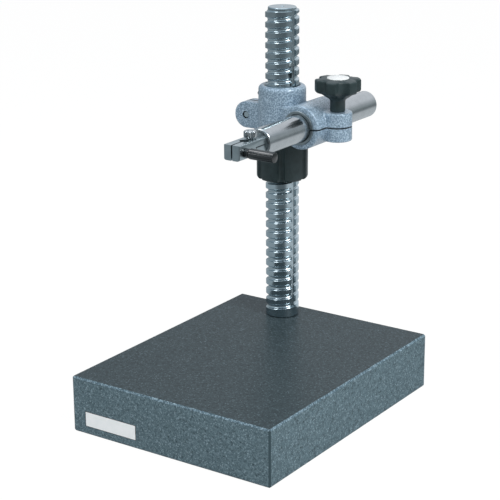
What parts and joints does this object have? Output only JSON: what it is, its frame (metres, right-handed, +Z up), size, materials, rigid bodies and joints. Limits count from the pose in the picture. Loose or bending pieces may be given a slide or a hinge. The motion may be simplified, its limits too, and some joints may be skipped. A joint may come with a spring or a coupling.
{
  "type": "comparator stand",
  "caption": "Comparator stand: a stone plate carries a threaded column, on which a nut lifts a cast head with a sliding round arm that clamps an indicator's stem.",
  "frame": {"origin": "centre of the stone plate's underside", "axes": "+Z up along the column, +X to the right along the plate's front edge, +Y to the back along the arm"},
  "size_m": [0.2, 0.308, 0.334],
  "materials": {
    "granite": "fine ground, speckled",
    "column_steel": "bright plated",
    "dark_steel": "blackened",
    "head_paint": "silver blue hammertone paint",
    "arm_chrome": "hard chrome, ground",
    "black_plastic": "moulded, satin",
    "white_plastic": "moulded, gloss",
    "washer_brass": "turned"
  },
  "bodies": {
    "stand": {"granite_base": "granite", "column": "column_steel", "column_base_screw": "dark_steel", "column_base_washer": "column_steel", "column_base_spring_washer": "dark_steel"},
    "head": {"head_bracket": "head_paint", "guide_key": "dark_steel", "thrust_washer": "washer_brass"},
    "nut": {"feed_nut": "black_plastic"},
    "column_clamp": {"column_clamp_screw": "column_steel", "column_clamp_knob": "black_plastic", "column_clamp_knob_cap": "white_plastic"},
    "arm_clamp": {"arm_clamp_screw": "column_steel", "arm_clamp_knob": "black_plastic", "arm_clamp_knob_cap": "white_plastic"},
    "arm": {"arm_bar": "arm_chrome"},
    "fine_screw": {"fine_adjust_screw": "arm_chrome"},
    "stem_clamp": {"stem_clamp_screw": "column_steel", "stem_clamp_knob": "black_plastic"}
  },
  "joints": [
    {"name": "head_lift", "type": "slide", "parent": "stand", "child": "head", "axis": [0, 0, 1], "range_m": [-0.12, 0.065]},
    {"name": "feed_nut_turn", "type": "hinge", "parent": "head", "child": "nut", "pos_m": [-0.0374, 0.1006, 0.2007], "axis": [0, 0, 1], "range_deg": [-4750, 2575]},
    {"name": "column_clamp_turn", "type": "hinge", "parent": "head", "child": "column_clamp", "pos_m": [-0.071, 0.1092, 0.2348], "axis": [0, 1, 0], "range_deg": [0, 360]},
    {"name": "arm_clamp_turn", "type": "hinge", "parent": "head", "child": "arm_clamp", "pos_m": [0.023, 0.096, 0.2483], "axis": [0, 0, 1], "range_deg": [0, 360]},
    {"name": "arm_slide", "type": "slide", "parent": "head", "child": "arm", "axis": [0, 1, 0], "range_m": [-0.06, 0.06]},
    {"name": "fine_adjust_turn", "type": "hinge", "parent": "arm", "child": "fine_screw", "pos_m": [0, -0.004, 0.2423], "axis": [0, 0, 1], "range_deg": [-360, 360]},
    {"name": "stem_clamp_turn", "type": "hinge", "parent": "arm", "child": "stem_clamp", "pos_m": [0.008, -0.022, 0.235], "axis": [1, 0, 0], "range_deg": [0, 360]}
  ],
  "couplings": [
    {"joint": "feed_nut_turn", "follows": "head_lift", "rad_per_m": 690.46}
  ]
}
